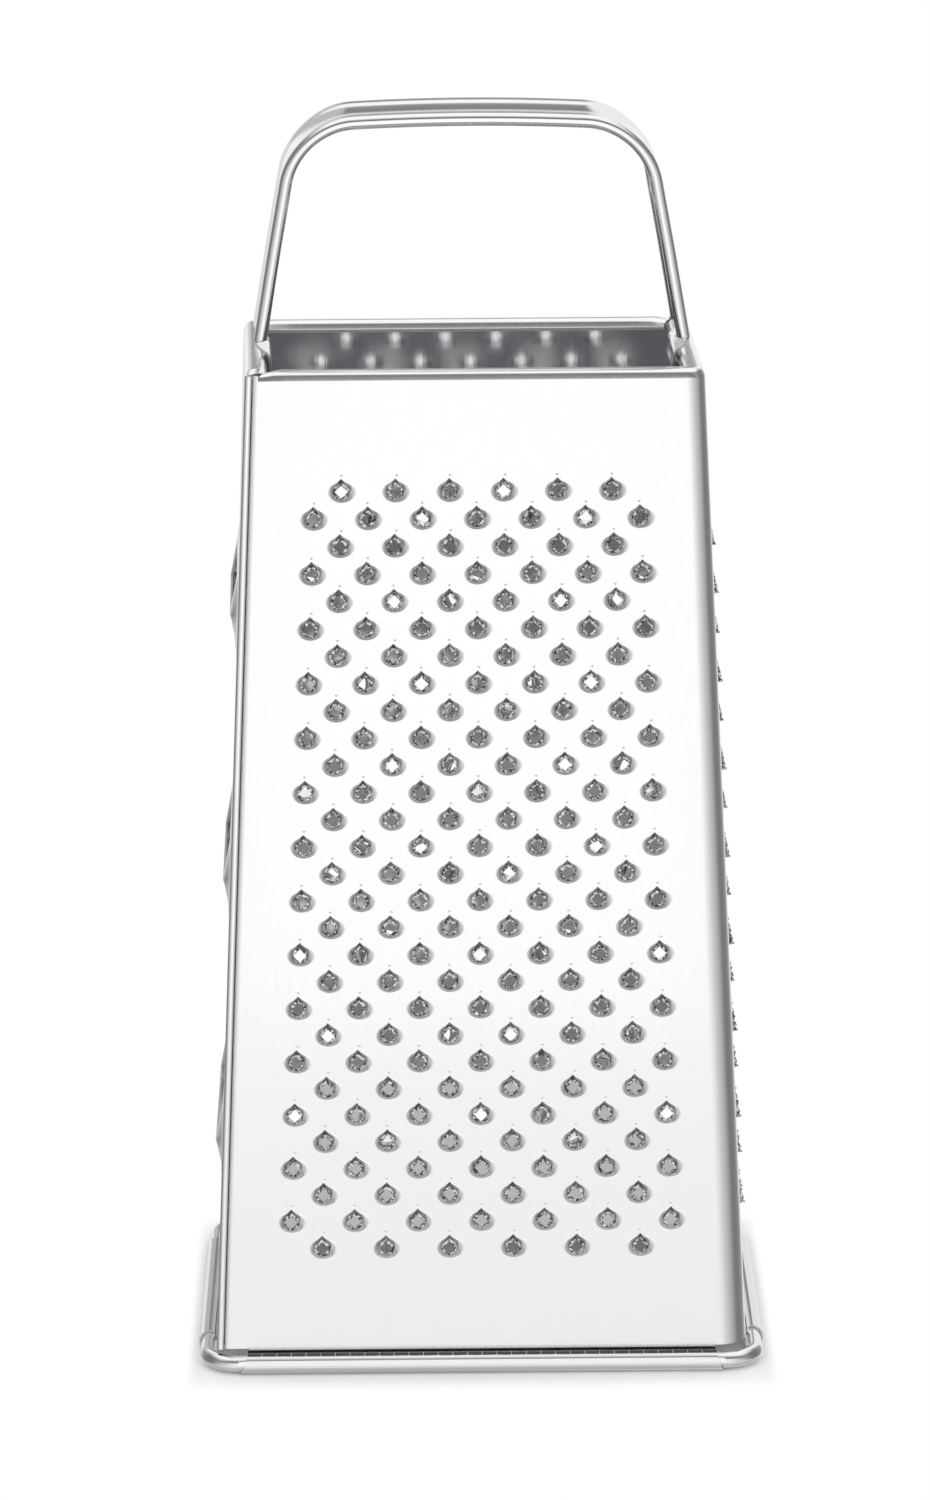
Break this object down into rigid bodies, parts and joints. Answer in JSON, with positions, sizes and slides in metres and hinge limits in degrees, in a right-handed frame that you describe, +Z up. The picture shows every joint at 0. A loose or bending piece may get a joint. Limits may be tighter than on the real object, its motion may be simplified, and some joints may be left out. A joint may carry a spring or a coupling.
{
  "type": "box grater",
  "caption": "Tapered four-sided steel box grater with fine, medium and coarse holes, slicing slots, wired foot and arched strap handle.",
  "frame": {"origin": "middle of the footprint, on the plane that the foot stands on", "axes": "+Z up; -Y is the way the wide face with fine teeth looks; -X is the way the narrow side with slicing slots looks"},
  "size_m": [0.11, 0.0844, 0.2404],
  "materials": {
    "grater_sheet": "satin brushed stainless steel, grain running up and down",
    "foot_wire": "bright drawn stainless steel wire",
    "handle_steel": "polished stainless steel strap"
  },
  "bodies": {
    "root": {"front_right_sheet": "grater_sheet", "back_left_sheet": "grater_sheet", "base_wire": "foot_wire", "handle_strap": "handle_steel"}
  },
  "joints": []
}
